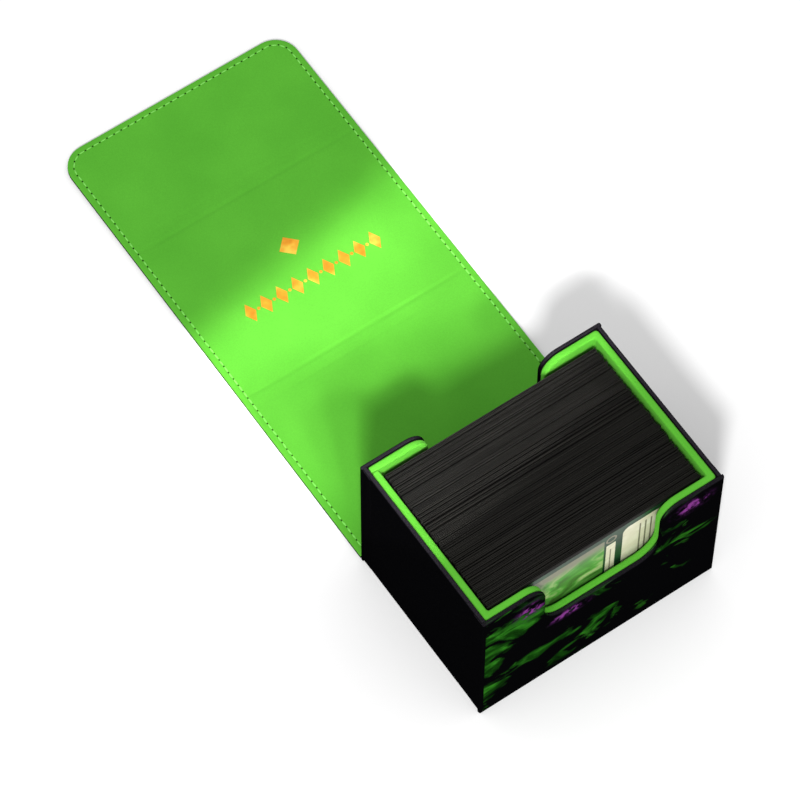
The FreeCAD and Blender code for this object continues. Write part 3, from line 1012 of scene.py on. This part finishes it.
def face_card():
    """The front card in its sleeve, printed with a plain frame, a soft picture and blank panels."""
    low, high = cad_box("face_card")
    centre = (low + high) / 2
    size = high - low
    bm = single_sleeve(size.x, size.z, size.y)
    bmesh.ops.translate(bm, verts=bm.verts, vec=centre)
    sleeve = piece("face_card_sleeve", bm, FILM, "face_card", sharp=60)
    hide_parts("face_card")
    frame_ink = printed_card("card_frame_ink", "0c2614", "12361e", "1a4828", 9)
    picture_ink = printed_card("card_picture_ink", "3a5a24", "4f9a36", "b2c886", 15, "7d7c66")
    panel_ink = printed_card("card_panel_ink", "cfc7ab", "d9d6b8", "e6e3cc", 20)
    line_ink = printed_card("card_line_ink", "6f6b5c", "77725f", "857f6c", 10)
    border = WELD + CARD_MARGIN
    bottom, top = low.z + border, high.z - border
    left, right = low.x + border, high.x - border
    # Each layer's name, x and z ranges, corner radius, how far it stands proud, and its ink
    layers = [
        ("card_frame", left, right, bottom, top, 3.0, 0.03, frame_ink),
        ("card_picture", left + 3, 4.4, bottom + 3, top - 3, 0.8, 0.04, picture_ink),
        ("card_title", 5.4, 9.4, bottom + 3, top - 8.2, 0.3, 0.04, panel_ink),
        ("card_ring", 5.0, 9.8, top - 7.0, top - 2.6, 2.2, 0.04, line_ink),
        ("card_ring_centre", 5.8, 9.0, top - 6.2, top - 3.4, 1.4, 0.05, frame_ink),
        ("card_title_rule", 7.1, 7.6, bottom + 6, top - 12, 0.2, 0.05, line_ink),
        ("card_panel", 12.4, right - 3, bottom + 3, top - 3, 3.0, 0.04, panel_ink),
    ]
    for i in range(CARD_LINES):
        x = FIRST_LINE_X + i * LINE_PITCH
        layers.append((f"card_line_{i + 1}", x, x + LINE_W, bottom + 8 + 3 * (i % 3), top - 6,
                       0.3, 0.05, line_ink))
    for name, x0, x1, z0, z1, radius, proud, ink in layers:
        panel = rounded_panel(x0, x1, z0, z1, radius, low.y - proud, low.y + 0.02)
        made = piece(name, panel, ink, "face_card")


# Turned-over edges on the side walls

TURNOVER_W = 4.6
TURNOVER_T = 0.16
TURNOVER_FROM, TURNOVER_TO = 0.9, 0.75  # from the wall's lower and upper end


def turnovers():
    """The front and back covers turn a few millimetres on to the side walls."""
    low, high = cad_box("right_cover")
    for side, name in ((-1, "left"), (1, "right")):
        bm = bmesh.new()
        for end in (-1, 1):
            y_outer, y_inner = end * INSIDE_Y, end * (INSIDE_Y - TURNOVER_W)
            x0, x1 = side * (SIDE_X - 0.01), side * (SIDE_X + TURNOVER_T)
            z0, z1 = low.z + TURNOVER_FROM, high.z - TURNOVER_TO
            corners = bmesh.ops.create_cube(bm, size=1.0)["verts"]
            centre = Vector(((x0 + x1) / 2, (y_outer + y_inner) / 2, (z0 + z1) / 2))
            size = (abs(x1 - x0), TURNOVER_W, z1 - z0)
            bmesh.ops.scale(bm, vec=size, verts=corners)
            bmesh.ops.translate(bm, vec=centre, verts=corners)
        outer = [e for e in bm.edges if all(abs(v.co.x) > SIDE_X + 0.05 for v in e.verts)]
        bmesh.ops.bevel(bm, geom=outer, offset=0.12, segments=3, profile=0.5, affect="EDGES")
        made = piece(f"{name}_turnovers", bm, LEATHER, "box")


# Camera, light and floor

VIEW_AZIMUTH = -34.739
VIEW_ELEVATION = 61.351
VIEW_ROLL = 0.267
VIEW_AIM = Vector((-2.56, 83.65, 0.0))
VIEW_DISTANCE = 1711.5
LENS = 208.29
SENSOR = 36.0

SKY = 0.735
KEY_PLACE = Vector((-811.0, -1002.0, 1500.0))
KEY_RADIUS = 95.0
KEY_POWER = 94.0
FLOOR_HALF = 4000
FLOOR_DROP = 0.02


def camera():
    """A long lens, from above the front left corner."""
    azimuth, elevation = math.radians(VIEW_AZIMUTH), math.radians(VIEW_ELEVATION)
    back = Vector((
        math.sin(azimuth) * math.cos(elevation),
        -math.cos(azimuth) * math.cos(elevation),
        math.sin(elevation),
    ))
    data = bpy.data.cameras.new("camera")
    data.lens = LENS
    data.sensor_width = SENSOR
    data.clip_end = 20
    made = bpy.data.objects.new("camera", data)
    turn = back.to_track_quat("Z", "Y").to_matrix() @ Matrix.Rotation(math.radians(VIEW_ROLL), 3, "Z")
    made.matrix_world = Matrix.Translation((VIEW_AIM + back * VIEW_DISTANCE) * MM) @ turn.to_4x4()
    bpy.context.scene.collection.objects.link(made)
    bpy.context.scene.camera = made


POOL_SLOPE = 10.5  # the lit band's edges are turned this many degrees from the box's front
POOL_FROM = Vector((-18.0, -73.0, 71.0)).normalized()
POOL_FAR = 157.0  # where the band's far edge crosses x = 0
POOL_LEVEL = 1.4  # brightness it adds, against a white world of strength 1
POOL_SPREAD = 6.0
POOL_DISTANCE = 200.0
POOL_CENTRE_X = -15.0

# Each beam's turn and tilt from the pool's direction (degrees), its depth and length on the floor
POOL_BEAMS = [
    ((0, 0), 34, 130),
    ((12, 3), 70, 90),
    ((2, -4), 76, 140),
    ((-8, 2), 86, 170),
    ((-18, -3), 97, 200),
]


def beam(number, tilt, depth, length):
    """A narrow beam that lights a strip of floor, whose far edge all beams share."""
    turn = Matrix.Rotation(math.radians(tilt[0]), 3, "Z") @ Matrix.Rotation(math.radians(tilt[1]), 3, "X")
    back = turn @ POOL_FROM
    slope = math.radians(POOL_SLOPE)
    along = Vector((math.cos(slope), math.sin(slope), 0))
    across = Vector((-math.sin(slope), math.cos(slope), 0))
    x_axis = (along - back * along.dot(back)).normalized()
    y_axis = back.cross(x_axis)
    reach = abs((y_axis - back * (y_axis.z / back.z)).dot(across))
    data = bpy.data.lights.new(f"pool_{number}", "AREA")
    data.shape = "RECTANGLE"
    data.size, data.size_y = length * MM, depth / reach * MM
    data.spread = math.radians(POOL_SPREAD)
    data.energy = POOL_LEVEL / len(POOL_BEAMS) * math.pi / back.z * data.size * data.size_y
    centre = Vector((0, POOL_FAR, 0)) + along * POOL_CENTRE_X - across * depth / 2
    made = bpy.data.objects.new(f"pool_{number}", data)
    place = Matrix((x_axis, y_axis, back)).transposed().to_4x4()
    place.translation = (centre + back * POOL_DISTANCE) * MM
    made.matrix_world = place
    made.visible_camera = False
    bpy.context.scene.collection.objects.link(made)


def studio():
    """A white surround, a soft key light from the front left and the beams of the lit band."""
    world = bpy.data.worlds.new("studio")
    world.use_nodes = True
    background = world.node_tree.nodes["Background"]
    background.inputs["Color"].default_value = (1.0, 1.0, 1.0, 1.0)
    background.inputs["Strength"].default_value = SKY
    bpy.context.scene.world = world
    bpy.context.scene.view_settings.view_transform = "Standard"
    data = bpy.data.lights.new("key", "POINT")
    data.energy = KEY_POWER
    data.shadow_soft_size = KEY_RADIUS * MM
    made = bpy.data.objects.new("key", data)
    made.matrix_world = Matrix.Translation(KEY_PLACE * MM)
    made.visible_camera = False
    bpy.context.scene.collection.objects.link(made)
    for number, (tilt, depth, length) in enumerate(POOL_BEAMS, 1):
        beam(number, tilt, depth, length)


def floor():
    """A plain pale floor just under the box."""
    made, tree, shader = material("studio_floor", {"Roughness": 1.0, "Specular IOR Level": 0.0})
    cloud = add(tree, NOISE, {"Vector": place_in_mm(tree), "Scale": 1 / 400})
    feed(tree, shader, base_color=add(tree, RAMP, {0: cloud}, [(0.0, 0.94), (1.0, 0.95)]))
    bm = bmesh.new()
    bmesh.ops.create_grid(bm, x_segments=1, y_segments=1, size=FLOOR_HALF)
    bmesh.ops.translate(bm, verts=bm.verts, vec=(0, 0, -FLOOR_DROP))
    piece("floor", bm, made, normals=False)


camera()
studio()
floor()
paint_cad_nodes()
lining_strip()
flap_sheets()
stitching()
deck()
face_card()
turnovers()
